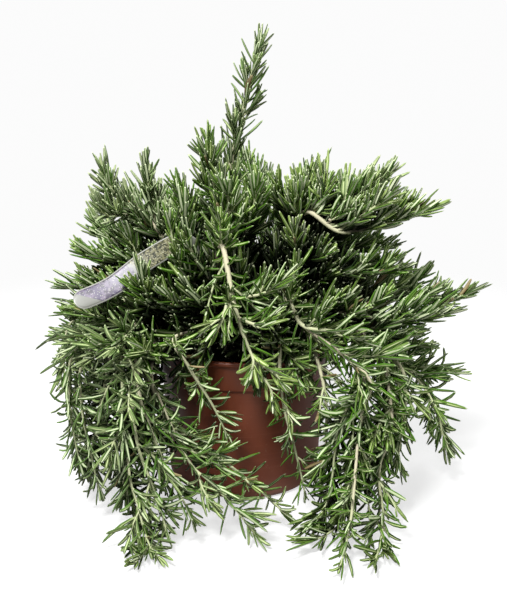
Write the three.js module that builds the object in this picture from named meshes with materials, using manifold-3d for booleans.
// A rosemary plant with trailing shoots in a round plastic pot, in millimetres, +Z up.
// The origin is the middle of the pot's underside, on the surface that it stands on.
// -Y is the front and +X is the right-hand side.
import * as THREE from 'three';
import { mergeVertices } from 'three/addons/utils/BufferGeometryUtils.js';
import Module from 'manifold-3d';

// ---- Driving dimensions: pot and soil ----
const POT_HEIGHT = 172;
const FOOT_RADIUS = 91;
const FOOT_FILLET = 7;
const BODY_TOP_RADIUS = 97.5;
const COLLAR_HEIGHT = 36;
const COLLAR_STEP = 2;
const RIM_RADIUS = 104;
const RIM_BEAD = 3;
const WALL = 2;
const BASE_THICKNESS = 3;
const DRAIN_HOLE_RADIUS = 5;
const DRAIN_RING_RADIUS = 62;
const DRAIN_HOLES = 8;
const SOIL_TOP = 150;
const SOIL_CROWN = 3;

// ---- Driving dimensions: label ----
const LABEL_WIDTH = 26;
const LABEL_THICKNESS = 0.8;
const LABEL_STAKE_WIDTH = 14;
const LABEL_STAKE_SHARE = 0.42;
const LABEL_SHOULDER_SHARE = 0.12;
const LABEL_PIECES = 28;
const LABEL_ROUND_PIECES = 3;
const LABEL_FACING = new THREE.Vector3(0.1, -0.75, 0.65);
const LABEL_ROUTE = [
  [-48, -40, 120], [-48, -41, 190], [-50, -47, 262], [-62, -62, 296],
  [-98, -87, 284], [-136, -108, 259], [-172, -124, 246],
];

// ---- Driving dimensions: plant ----
const GAP = 0.35;
const STEP = 4;
const NODE_STEPS = 6;
const FIRST_NODE = 3;
const LEAF_LENGTH = 26;
const YOUNG_LEAF_LENGTH = 17;
const LEAF_FORWARD = 0.9;
const LEAF_LIFT = 0.5;
const LEAF_SHARES = [1, 0.8, 0.62];
const SHOOT_RADIUS = 1.7;
const SHOOT_TIP_RADIUS = 0.9;
const SHOOT_SIDES = 4;
const TRUNK_SIDES = 8;
const TRUNK_STRIDE = 5;
const TRUNK_TIP_RADIUS = 3.2;

// Woody stems: half their thickness at the root, and the route from under the soil's surface.
const TRUNKS = {
  trunk_centre: { thick: 6, route: [[5, 15, 115], [0, 15, 190], [-8, 20, 240], [0, 25, 290]] },
  trunk_left: { thick: 5.5, route: [[-25, 5, 115], [-35, 0, 185], [-60, 0, 225], [-75, 0, 262]] },
  trunk_right: { thick: 5.5, route: [[30, 5, 115], [42, 10, 190], [60, 10, 235], [55, 15, 290]] },
  trunk_front: { thick: 5, route: [[0, -25, 115], [-5, -40, 180], [-20, -50, 230], [-27, -55, 282]] },
  trunk_back: { thick: 5, route: [[10, 45, 115], [15, 60, 180], [25, 80, 225], [30, 95, 265]] },
};

// Leafy shoots: the stem that each grows on, how far along it, and the rest of the shoot's route.
const SHOOTS = {
  // upright shoots in the middle
  spire_tall: {
    on: 'trunk_centre', at: 1, thick: 2.4,
    route: [[-15, 20, 355], [-4, 15, 410], [9, 10, 465], [24, 5, 522]],
  },
  spire_left: { on: 'trunk_centre', at: 0.8, route: [[-25, 0, 315], [-35, -15, 360], [-40, -20, 420]] },
  spire_short: { on: 'trunk_left', at: 0.9, route: [[-60, -10, 315], [-70, -20, 345], [-75, -25, 370]] },
  crown_front: { on: 'trunk_front', at: 0.85, route: [[-15, -60, 335], [-20, -65, 365], [-15, -70, 385]] },
  crown_middle: { on: 'trunk_centre', at: 0.9, route: [[10, -5, 315], [15, -20, 345], [15, -25, 375]] },
  crown_right: { on: 'trunk_right', at: 1, route: [[45, 10, 325], [40, 0, 350], [35, -5, 370]] },
  crown_back_left: { on: 'trunk_centre', at: 0.7, route: [[-50, 55, 265], [-85, 85, 295], [-100, 95, 335]] },
  crown_back_right: { on: 'trunk_centre', at: 0.6, route: [[35, 60, 245], [60, 80, 285], [65, 85, 330]] },

  // arms to the left
  arm_upper_left: {
    on: 'trunk_left', at: 1, thick: 2.2,
    route: [[-95, -5, 295], [-120, -10, 315], [-145, -20, 345], [-160, -25, 390]],
    twigs: [{ at: 0.55, route: [[-145, -35, 320], [-155, -45, 330], [-165, -50, 350]] }],
  },
  arm_left_upright: {
    on: 'arm_upper_left', at: 0.33,
    route: [[-105, 0, 325], [-110, 5, 355], [-110, 5, 390]],
  },
  arm_left_high: { on: 'trunk_left', at: 0.78, route: [[-110, 15, 270], [-150, 15, 280], [-185, 15, 320]] },
  arm_left_a: { on: 'trunk_left', at: 0.68, route: [[-110, -30, 265], [-155, -35, 270], [-195, -35, 290]] },
  arm_left_b: {
    on: 'trunk_left', at: 0.58,
    route: [[-110, -15, 235], [-150, -25, 240], [-185, -25, 235], [-220, -25, 235]],
  },
  arm_left_c: {
    on: 'trunk_left', at: 0.48, thick: 2.4,
    route: [[-115, -60, 230], [-155, -70, 225], [-210, -70, 215]],
  },
  arm_left_d: {
    on: 'trunk_left', at: 0.34, thick: 2.4,
    route: [[-120, 10, 195], [-160, 15, 175], [-205, 10, 165], [-235, 5, 165]],
    twigs: [{ at: 0.5, route: [[-180, 0, 155], [-200, -5, 140], [-215, -10, 140]] }],
  },
  front_left_tuft: {
    on: 'trunk_front', at: 0.55,
    route: [[-85, -85, 230], [-100, -110, 255], [-105, -110, 295]],
  },

  // arms to the right
  arm_right_high: {
    on: 'trunk_right', at: 0.88, thick: 2.2,
    route: [[70, -10, 320], [110, -25, 300], [160, -30, 310], [190, -30, 320], [225, -30, 330]],
    twigs: [
      { at: 0.25, route: [[90, -15, 330], [90, -15, 358], [85, -15, 382]] },
      { at: 0.5, route: [[135, -45, 325], [155, -55, 345], [165, -60, 365]] },
    ],
  },
  arm_right_upright: {
    on: 'arm_right_high', at: 0.42,
    route: [[130, -25, 340], [155, -30, 360], [170, -30, 385]],
  },
  arm_right_a: { on: 'trunk_right', at: 0.8, route: [[115, 20, 270], [155, 25, 270], [195, 25, 275]] },
  arm_right_b: { on: 'trunk_right', at: 0.7, route: [[115, -20, 250], [160, -25, 255], [200, -25, 260]] },
  arm_right_c: {
    on: 'trunk_right', at: 0.6,
    route: [[125, 10, 210], [185, 5, 215], [220, 0, 210], [250, 0, 215], [280, 0, 230]],
  },
  arm_right_d: {
    on: 'trunk_right', at: 0.46, thick: 2.4,
    route: [[120, -45, 210], [170, -55, 205], [210, -55, 210], [245, -55, 215]],
  },
  arm_right_e: {
    on: 'trunk_right', at: 0.4, thick: 2.4,
    route: [[105, 20, 190], [150, 25, 175], [200, 25, 150], [240, 20, 145]],
    twigs: [{ at: 0.62, route: [[215, 35, 120], [240, 40, 100], [265, 40, 90]] }],
  },

  // over the front of the rim
  front_thick: {
    on: 'trunk_front', at: 1, thick: 2.8,
    route: [[-20, -85, 295], [-10, -110, 250], [0, -120, 215], [15, -130, 180], [30, -130, 150]],
    twigs: [
      { at: 0.45, route: [[-20, -130, 230], [-30, -140, 215], [-35, -145, 200]] },
      { at: 0.62, route: [[15, -130, 225], [30, -135, 235], [45, -140, 245]] },
    ],
  },
  front_side: { on: 'trunk_front', at: 0.75, route: [[0, -95, 245], [25, -115, 255], [55, -120, 280]] },
  front_right_fan: {
    on: 'trunk_right', at: 0.53, thick: 2.4,
    route: [[50, -75, 235], [65, -105, 215], [100, -125, 215], [140, -130, 200]],
  },
  over_pot_left: {
    on: 'trunk_front', at: 0.45,
    route: [[-70, -110, 205], [-55, -125, 175], [-30, -125, 130], [-10, -120, 80]],
  },
  over_pot_low: {
    on: 'trunk_left', at: 0.42, thick: 2.2,
    route: [[-95, -110, 180], [-75, -130, 110], [-20, -140, 75], [20, -150, 45], [60, -160, 8]],
  },
  over_pot_right: {
    on: 'trunk_right', at: 0.28,
    route: [[40, -90, 200], [40, -120, 165], [45, -130, 130], [55, -130, 90], [65, -140, 50], [70, -150, 20]],
  },
  over_pot_edge: {
    on: 'trunk_right', at: 0.36,
    route: [[70, -75, 195], [85, -110, 160], [90, -120, 125], [90, -125, 80], [85, -130, 40], [88, -150, 8]],
  },

  // hanging and lying on the left
  trail_left_a: {
    on: 'arm_left_c', at: 0.4,
    route: [[-135, -80, 195], [-150, -95, 145], [-165, -95, 85], [-180, -95, 20]],
    twigs: [{ at: 0.2, route: [[-160, -70, 150], [-180, -65, 130], [-200, -60, 110]] }],
  },
  trail_left_b: {
    on: 'arm_left_c', at: 0.22, thick: 2.2,
    route: [[-120, -100, 210], [-125, -130, 160], [-125, -140, 100], [-125, -150, 60], [-130, -155, 22]],
    twigs: [{ at: 0.35, route: [[-110, -155, 115], [-95, -170, 70], [-80, -185, 30], [-75, -200, 6]] }],
  },
  trail_left_c: {
    on: 'over_pot_low', at: 0.22,
    route: [
      [-105, -125, 195], [-105, -150, 155], [-90, -160, 110],
      [-75, -165, 70], [-55, -175, 35], [-45, -185, 10],
    ],
  },
  trail_left_long: {
    on: 'arm_left_d', at: 0.35,
    route: [
      [-145, -20, 160], [-160, -70, 80], [-125, -130, 30], [-95, -170, 7], [-100, -210, 6], [-115, -240, 7],
    ],
  },

  // hanging and lying on the right
  trail_right_a: {
    on: 'front_right_fan', at: 0.66, thick: 2.2,
    route: [
      [130, -135, 170], [125, -145, 135], [120, -150, 95], [115, -160, 55], [100, -180, 22], [55, -205, 10],
    ],
  },
  trail_right_long: {
    on: 'trail_right_a', at: 0.55,
    route: [[115, -180, 70], [110, -200, 40], [100, -225, 12], [90, -250, 7]],
  },
  trail_right_b: {
    on: 'arm_right_d', at: 0.35,
    route: [[170, -75, 165], [180, -90, 125], [175, -100, 80], [165, -110, 45]],
    twigs: [{ at: 0.75, route: [[170, -120, 70], [175, -125, 55], [180, -130, 40]] }],
  },
  trail_right_c: {
    on: 'arm_right_e', at: 0.55,
    route: [[210, -5, 120], [230, -20, 90], [240, -35, 55], [255, -45, 25]],
  },
  trail_right_d: {
    on: 'trail_right_b', at: 0.35,
    route: [[160, -125, 115], [145, -150, 70], [148, -170, 25], [140, -200, 7], [125, -240, 7]],
  },

  // the back
  back_up_left: { on: 'trunk_back', at: 1, route: [[20, 120, 310], [5, 135, 350], [-10, 140, 390]] },
  back_up_right: { on: 'trunk_back', at: 0.9, route: [[60, 120, 290], [85, 145, 325], [95, 155, 365]] },
  back_arm_left: { on: 'trunk_back', at: 0.76, route: [[-20, 125, 250], [-65, 165, 265], [-110, 190, 300]] },
  back_arm_right: { on: 'trunk_back', at: 0.68, route: [[75, 120, 235], [120, 155, 235], [170, 175, 260]] },
  back_middle: {
    on: 'trunk_back', at: 0.57,
    route: [[25, 130, 225], [25, 175, 205], [30, 200, 135], [35, 215, 65], [50, 245, 10]],
  },
  back_arch_left: {
    on: 'trunk_left', at: 0.84,
    route: [
      [-85, 60, 260], [-110, 110, 250], [-130, 155, 195], [-140, 185, 125], [-150, 205, 55], [-165, 225, 10],
    ],
  },
  back_arch_right: {
    on: 'trunk_right', at: 0.66,
    route: [[95, 60, 235], [130, 105, 225], [155, 145, 180], [165, 175, 110], [175, 195, 45]],
  },
  back_side_left: {
    on: 'trunk_left', at: 0.53, thick: 2.2,
    route: [[-105, 50, 220], [-150, 80, 225], [-200, 100, 250]],
    twigs: [{ at: 0.45, route: [[-160, 105, 190], [-180, 125, 130], [-185, 130, 70]] }],
  },
  back_side_right: { on: 'trunk_right', at: 0.5, route: [[105, 60, 195], [160, 90, 200], [210, 110, 225]] },
  back_low_left: {
    on: 'trunk_back', at: 0.44,
    route: [[-25, 110, 205], [-60, 145, 165], [-75, 170, 100], [-80, 185, 40]],
  },
  back_low_right: {
    on: 'trunk_back', at: 0.34,
    route: [[60, 115, 195], [90, 145, 150], [100, 170, 90], [110, 195, 35], [120, 215, 10]],
  },
};

// ---- Materials ----
const material = (color, roughness) => new THREE.MeshStandardMaterial({ color, roughness, metalness: 0 });
const potPlastic = material(0x713c2e, 0.42);
const soilMix = material(0x33261c, 0.95);
const labelPlastic = material(0xb4a6bb, 0.35);
const bark = material(0x6e5644, 0.85);
const foliage = material(0x4f6e35, 0.5);

// ---- Solids ----
const wasm = await Module();
wasm.setup();

/** A closed three.js geometry as a solid that can be cut and joined. */
function toSolid(geometry) {
  const bare = geometry.clone();
  bare.deleteAttribute('normal');
  bare.deleteAttribute('uv');
  const merged = mergeVertices(bare, 1e-4);
  return new wasm.Manifold(new wasm.Mesh({
    numProp: 3,
    vertProperties: Float32Array.from(merged.attributes.position.array),
    triVerts: Uint32Array.from(merged.index.array),
  }));
}

/** A solid as a named mesh. */
function toMesh(name, solid, surface) {
  const { vertProperties, triVerts, numProp } = solid.getMesh();
  const geometry = new THREE.BufferGeometry();
  const positions = new THREE.InterleavedBufferAttribute(
    new THREE.InterleavedBuffer(vertProperties, numProp), 3, 0,
  );
  geometry.setAttribute('position', positions);
  geometry.setIndex(new THREE.BufferAttribute(triVerts, 1));
  geometry.computeVertexNormals();
  const mesh = new THREE.Mesh(geometry, surface);
  mesh.name = name;
  return mesh;
}

/** A turned solid from [radius, height] pairs that start and end on the axis. */
function turned(profile, segments) {
  const outline = profile.map(([radius, height]) => new THREE.Vector2(radius, height));
  return toSolid(new THREE.LatheGeometry(outline, segments).rotateX(Math.PI / 2));
}

/** Points on a quarter or other part of a circle, as [radius, height] pairs. */
function arc(centreRadius, centreHeight, size, fromDegrees, toDegrees, pieces) {
  const points = [];
  for (let i = 0; i <= pieces; i += 1) {
    const angle = THREE.MathUtils.degToRad(fromDegrees + ((toDegrees - fromDegrees) * i) / pieces);
    points.push([centreRadius + size * Math.cos(angle), centreHeight + size * Math.sin(angle)]);
  }
  return points;
}

// ---- Pot ----
const POT_SEGMENTS = 40;
const COLLAR_FOOT = POT_HEIGHT - COLLAR_HEIGHT;
const COLLAR_RADIUS = BODY_TOP_RADIUS + COLLAR_STEP;
const RIM_INNER_RADIUS = RIM_RADIUS - 2 * RIM_BEAD;
const bodyRadius = (height) => FOOT_RADIUS + ((BODY_TOP_RADIUS - FOOT_RADIUS) * height) / COLLAR_FOOT;
const innerRadius = (height) => bodyRadius(height) - WALL;

/** Plant pot: tapered body, stepped collar, rolled rim and a ring of drain holes. */
function buildPot() {
  const outer = [
    [0, 0],
    ...arc(FOOT_RADIUS - FOOT_FILLET, FOOT_FILLET, FOOT_FILLET, -90, 0, 3),
    [BODY_TOP_RADIUS, COLLAR_FOOT],
    [COLLAR_RADIUS, COLLAR_FOOT + COLLAR_STEP],
    [RIM_RADIUS - RIM_BEAD, POT_HEIGHT - 2 * RIM_BEAD],
    ...arc(RIM_RADIUS - RIM_BEAD, POT_HEIGHT - RIM_BEAD, RIM_BEAD, -60, 90, 4),
  ];
  const inner = [
    [RIM_INNER_RADIUS, POT_HEIGHT - RIM_BEAD],
    [innerRadius(COLLAR_FOOT), COLLAR_FOOT],
    [innerRadius(FOOT_FILLET), FOOT_FILLET],
    [innerRadius(FOOT_FILLET) - FOOT_FILLET + BASE_THICKNESS, BASE_THICKNESS],
    [0, BASE_THICKNESS],
  ];
  let pot = turned([...outer, ...inner], POT_SEGMENTS);
  for (let i = 0; i < DRAIN_HOLES; i += 1) {
    const angle = (i * 2 * Math.PI) / DRAIN_HOLES;
    const hole = new THREE.CylinderGeometry(DRAIN_HOLE_RADIUS, DRAIN_HOLE_RADIUS, 3 * BASE_THICKNESS, 12);
    hole.rotateX(Math.PI / 2);
    hole.translate(DRAIN_RING_RADIUS * Math.cos(angle), DRAIN_RING_RADIUS * Math.sin(angle), 0);
    pot = pot.subtract(toSolid(hole));
  }
  return pot;
}

// ---- Stems ----
/** The steps of a shoot where its leaves grow. */
function nodeSteps(steps) {
  const nodes = [];
  for (let step = FIRST_NODE; step < steps - 1; step += NODE_STEPS) nodes.push(step);
  return nodes;
}

/** The steps where a shoot has a section: its foot, and both edges of each band of leaves. */
const shootRings = (steps) => [0, ...nodeSteps(steps).flatMap((step) => [step, step + 1])];

/** The steps where a woody stem has a section. */
function trunkRings(steps) {
  const rings = [];
  for (let step = 0; step < steps - TRUNK_STRIDE / 2; step += TRUNK_STRIDE) rings.push(step);
  return [...rings, steps];
}

/** A stem: equal steps along a smooth curve, with a frame and a half thickness at each. */
function makeStem(points, baseRadius, tipRadius, sides, ringSteps) {
  const curve = new THREE.CatmullRomCurve3(points, false, 'catmullrom', 0.5);
  const steps = Math.round(curve.getLength() / STEP);
  const { tangents, normals, binormals } = curve.computeFrenetFrames(steps, false);
  const centres = curve.getSpacedPoints(steps);
  const radiusAt = (step) => THREE.MathUtils.lerp(baseRadius, tipRadius, step / steps);
  return { steps, tangents, normals, binormals, centres, radiusAt, sides, rings: ringSteps(steps) };
}

/** A point inside a stem, on the straight stretch between its sections. */
function pointInside(stem, along) {
  const step = along * stem.steps;
  const from = stem.rings.findLast((ring) => ring <= step);
  const to = stem.rings.find((ring) => ring > step) ?? stem.steps;
  const share = to > from ? (step - from) / (to - from) : 0;
  return stem.centres[from].clone().lerp(stem.centres[to], share);
}

/** The corners of a stem's flat-sided section at one step, grown outwards on every side. */
function section(stem, step, grow) {
  const reach = (stem.radiusAt(step) + grow) / Math.cos(Math.PI / stem.sides);
  const endShift = (step === stem.steps ? grow : 0) - (step === 0 ? grow : 0);
  const corners = [];
  for (let i = 0; i < stem.sides; i += 1) {
    const angle = ((i - 0.5) * 2 * Math.PI) / stem.sides;
    corners.push(stem.centres[step].clone()
      .addScaledVector(stem.tangents[step], endShift)
      .addScaledVector(stem.normals[step], reach * Math.cos(angle))
      .addScaledVector(stem.binormals[step], reach * Math.sin(angle)));
  }
  return corners;
}

/** A closed solid through a list of sections; leafTips gives the apex of a leaf on a side. */
function skin(rings, startPoint, endPoint, leafTips = () => null) {
  const sides = rings[0].length;
  const positions = rings.flat().flatMap((corner) => corner.toArray());
  const index = [];
  const addPoint = (point) => {
    positions.push(...point.toArray());
    return positions.length / 3 - 1;
  };
  const start = addPoint(startPoint);
  const end = addPoint(endPoint);
  const last = (rings.length - 1) * sides;
  for (let side = 0; side < sides; side += 1) {
    const next = (side + 1) % sides;
    index.push(start, next, side);
    index.push(end, last + side, last + next);
    for (let ring = 0; ring < rings.length - 1; ring += 1) {
      const a = ring * sides + side;
      const b = ring * sides + next;
      const c = b + sides;
      const d = a + sides;
      const tip = leafTips(ring, side);
      if (tip) {
        const apex = addPoint(tip);
        index.push(a, b, apex, b, c, apex, c, d, apex, d, a, apex);
      } else {
        index.push(a, b, c, a, c, d);
      }
    }
  }
  const geometry = new THREE.BufferGeometry();
  geometry.setAttribute('position', new THREE.Float32BufferAttribute(positions, 3));
  geometry.setIndex(index);
  return toSolid(geometry);
}

/** A stem's solid, grown by the gap that its neighbours keep, with leaves where there are tips. */
function stemSolid(stem, grow, leafTips) {
  const rings = stem.rings.map((step) => section(stem, step, grow));
  const startPoint = stem.centres[0].clone().addScaledVector(stem.tangents[0], -grow);
  const endPoint = stem.centres[stem.steps].clone().addScaledVector(stem.tangents[stem.steps], grow);
  return skin(rings, startPoint, endPoint, leafTips);
}

const vectors = (route) => route.map(([x, y, z]) => new THREE.Vector3(x, y, z));

const stems = {};
for (const [name, { thick, route }] of Object.entries(TRUNKS)) {
  stems[name] = makeStem(vectors(route), thick, TRUNK_TIP_RADIUS, TRUNK_SIDES, trunkRings);
}

/** The stem of a shoot or twig, starting inside the stem that it grows on and no thicker. */
function sideStem(parent, { at, route, thick = SHOOT_RADIUS }) {
  const foot = pointInside(parent, at);
  const baseRadius = Math.min(thick, 0.9 * parent.radiusAt(at * parent.steps));
  return makeStem([foot, ...vectors(route)], baseRadius, SHOOT_TIP_RADIUS, SHOOT_SIDES, shootRings);
}

// Each shoot is a list of stems: its own and then its twigs'.
const shoots = {};
const stemNamed = (name) => stems[name] ?? shoots[name][0];
for (const [name, shoot] of Object.entries(SHOOTS)) {
  const main = sideStem(stemNamed(shoot.on), shoot);
  shoots[name] = [main, ...(shoot.twigs ?? []).map((twig) => sideStem(main, twig))];
}

// ---- Label ----
/** Plant label: a thin strip with a narrow stake in the soil and a round outer end. */
function buildLabel(grow) {
  const curve = new THREE.CatmullRomCurve3(vectors(LABEL_ROUTE), false, 'catmullrom', 0.5);
  const rings = [];
  for (let i = 0; i <= LABEL_PIECES; i += 1) {
    const along = i / LABEL_PIECES;
    const tangent = curve.getTangentAt(along);
    const across = tangent.clone().cross(LABEL_FACING).normalize();
    const facing = across.clone().cross(tangent).normalize();
    const shoulder = LABEL_STAKE_SHARE + LABEL_SHOULDER_SHARE;
    const spread = THREE.MathUtils.smoothstep(along, LABEL_STAKE_SHARE, shoulder);
    const intoEnd = Math.max(0, LABEL_ROUND_PIECES - (LABEL_PIECES - i)) / (LABEL_ROUND_PIECES + 0.5);
    const rounding = Math.sqrt(1 - intoEnd * intoEnd);
    const width = THREE.MathUtils.lerp(LABEL_STAKE_WIDTH, LABEL_WIDTH, spread);
    const halfWidth = (width / 2) * rounding + grow;
    const halfThickness = LABEL_THICKNESS / 2 + grow;
    const centre = curve.getPointAt(along);
    const corner = (u, v) => centre.clone()
      .addScaledVector(across, u * halfWidth)
      .addScaledVector(facing, v * halfThickness);
    rings.push([corner(1, 1), corner(1, -1), corner(-1, -1), corner(-1, 1)]);
  }
  const startPoint = curve.getPointAt(0).addScaledVector(curve.getTangentAt(0), -grow);
  const endPoint = curve.getPointAt(1).addScaledVector(curve.getTangentAt(1), grow);
  return { solid: skin(rings, startPoint, endPoint), rings };
}

// ---- Leaves ----
const MARGIN = 0.4;
const CELL = 12;
const STEM_BALL = 1.25;
const LABEL_BALL = 3.5;
const LABEL_BALLS = 6;

/** Balls that stand for what is already placed, found by the cell that they are in. */
class Occupied {
  constructor() {
    this.cells = new Map();
  }

  key(x, y, z) {
    return `${Math.floor(x / CELL)},${Math.floor(y / CELL)},${Math.floor(z / CELL)}`;
  }

  add(centre, radius, owner) {
    const key = this.key(centre.x, centre.y, centre.z);
    if (!this.cells.has(key)) this.cells.set(key, []);
    this.cells.get(key).push({ centre, radius, owner });
  }

  /** Whether a ball would touch one that isn't excused. */
  hits(centre, radius, excused) {
    for (const dx of [-CELL, 0, CELL]) {
      for (const dy of [-CELL, 0, CELL]) {
        for (const dz of [-CELL, 0, CELL]) {
          const near = this.cells.get(this.key(centre.x + dx, centre.y + dy, centre.z + dz)) ?? [];
          const hit = near.some((ball) => !excused(ball.owner)
            && ball.centre.distanceTo(centre) < ball.radius + radius + MARGIN);
          if (hit) return true;
        }
      }
    }
    return false;
  }
}

const occupied = new Occupied();
const allStems = [...Object.values(stems), ...Object.values(shoots).flat()];
for (const stem of allStems) {
  stem.centres.forEach((centre, step) => {
    occupied.add(centre, STEM_BALL * stem.radiusAt(step) + GAP, { stem, step });
  });
}

const label = buildLabel(0);
for (const ring of label.rings) {
  for (let i = 0; i <= LABEL_BALLS; i += 1) {
    occupied.add(ring[0].clone().lerp(ring[3], i / LABEL_BALLS), LABEL_BALL, { stem: label, step: 0 });
  }
}

/** Whether a ball would touch the pot's wall, the soil or the floor. */
function touchesPot(centre, radius) {
  const reach = radius + MARGIN;
  const fromAxis = Math.hypot(centre.x, centre.y);
  const inWall = fromAxis > innerRadius(0) - reach && fromAxis < RIM_RADIUS + reach;
  const inSoil = fromAxis < BODY_TOP_RADIUS && centre.z < SOIL_TOP + SOIL_CROWN + reach;
  return inSoil || (inWall && centre.z < POT_HEIGHT + reach);
}

const LEAF_BALLS = 5;
const LEAF_TIP_BALL = 0.3;
const LEAF_FOOT_BALL = 2.7;
const LEAF_FLOOR = 1.5;
const NEAR_STEPS = 8;

/** The balls along one leaf, from its foot to its tip. */
function leafBalls(foot, tip) {
  const balls = [];
  for (let i = 0; i <= LEAF_BALLS; i += 1) {
    const along = i / LEAF_BALLS;
    const radius = THREE.MathUtils.lerp(LEAF_FOOT_BALL, LEAF_TIP_BALL, along);
    balls.push({ centre: foot.clone().lerp(tip, along), radius });
  }
  return balls;
}

/** The tip of the leaf on one side of a stem, or null where there is no room for a leaf. */
function placeLeaf(stem, step, side) {
  const angle = (side * 2 * Math.PI) / SHOOT_SIDES;
  const outward = stem.normals[step].clone().multiplyScalar(Math.cos(angle))
    .addScaledVector(stem.binormals[step], Math.sin(angle));
  const along = stem.tangents[step];
  const level = 1 - Math.abs(along.z);
  const direction = outward.clone()
    .addScaledVector(along, LEAF_FORWARD)
    .add(new THREE.Vector3(0, 0, LEAF_LIFT * level))
    .normalize();
  const foot = stem.centres[step].clone().lerp(stem.centres[step + 1], 0.5)
    .addScaledVector(outward, stem.radiusAt(step));
  const fullLength = THREE.MathUtils.lerp(LEAF_LENGTH, YOUNG_LEAF_LENGTH, (step / stem.steps) ** 2);
  for (const share of LEAF_SHARES) {
    const tip = foot.clone().addScaledVector(direction, share * fullLength);
    tip.z = Math.max(tip.z, LEAF_FLOOR);
    const balls = leafBalls(foot, tip);
    const excused = (owner) => owner.stem === stem
      && (owner.node === step || (owner.node === undefined && Math.abs(owner.step - step) < NEAR_STEPS));
    const clash = balls.some(({ centre, radius }) => touchesPot(centre, radius)
      || occupied.hits(centre, radius, excused));
    if (!clash) {
      balls.forEach(({ centre, radius }) => occupied.add(centre, radius, { stem, node: step }));
      return tip;
    }
  }
  return null;
}

/** One stem with its whorls of leaves, as a single solid: every second stretch carries leaves. */
function leafyStem(stem) {
  const carriesLeaves = (ring) => ring % 2 === 1;
  const leafTips = (ring, side) => (carriesLeaves(ring) ? placeLeaf(stem, stem.rings[ring], side) : null);
  return stemSolid(stem, 0, leafTips);
}

// ---- The plant ----
const plant = new THREE.Group();

plant.add(toMesh('pot', buildPot(), potPlastic));

/** Potting mix: fills the pot to below the rim, with a socket around each woody stem and the stake. */
function buildSoil() {
  const foot = BASE_THICKNESS + GAP;
  const filletHeight = FOOT_FILLET + GAP;
  let soil = turned([
    [0, foot],
    [innerRadius(FOOT_FILLET) - FOOT_FILLET + BASE_THICKNESS - GAP, foot],
    [innerRadius(filletHeight) - GAP, filletHeight],
    [innerRadius(COLLAR_FOOT) - GAP, COLLAR_FOOT],
    [innerRadius(COLLAR_FOOT) - GAP, SOIL_TOP],
    [BODY_TOP_RADIUS / 2, SOIL_TOP + 0.7 * SOIL_CROWN],
    [0, SOIL_TOP + SOIL_CROWN],
  ], POT_SEGMENTS);
  for (const name of Object.keys(TRUNKS)) {
    soil = soil.subtract(stemSolid(stems[name], GAP));
  }
  return soil.subtract(buildLabel(GAP).solid);
}
plant.add(toMesh('soil', buildSoil(), soilMix));
plant.add(toMesh('plant_label', label.solid, labelPlastic));

for (const name of Object.keys(TRUNKS)) {
  plant.add(toMesh(name, stemSolid(stems[name], 0), bark));
}

/** The largest body of a solid, without a sliver that a cut has left beside it. */
function largestBody(solid) {
  return solid.decompose().reduce((best, body) => (body.volume() > best.volume() ? body : best));
}

/** A shoot with its twigs, cut clear of the stem that it grows on. */
function buildShoot(name) {
  const [main, ...twigs] = shoots[name].map(leafyStem);
  const socket = stemSolid(stemNamed(SHOOTS[name].on), GAP);
  return largestBody(twigs.reduce((whole, twig) => whole.add(twig), main).subtract(socket));
}
for (const name of Object.keys(SHOOTS)) {
  plant.add(toMesh(`shoot_${name}`, buildShoot(name), foliage));
}

export default plant;
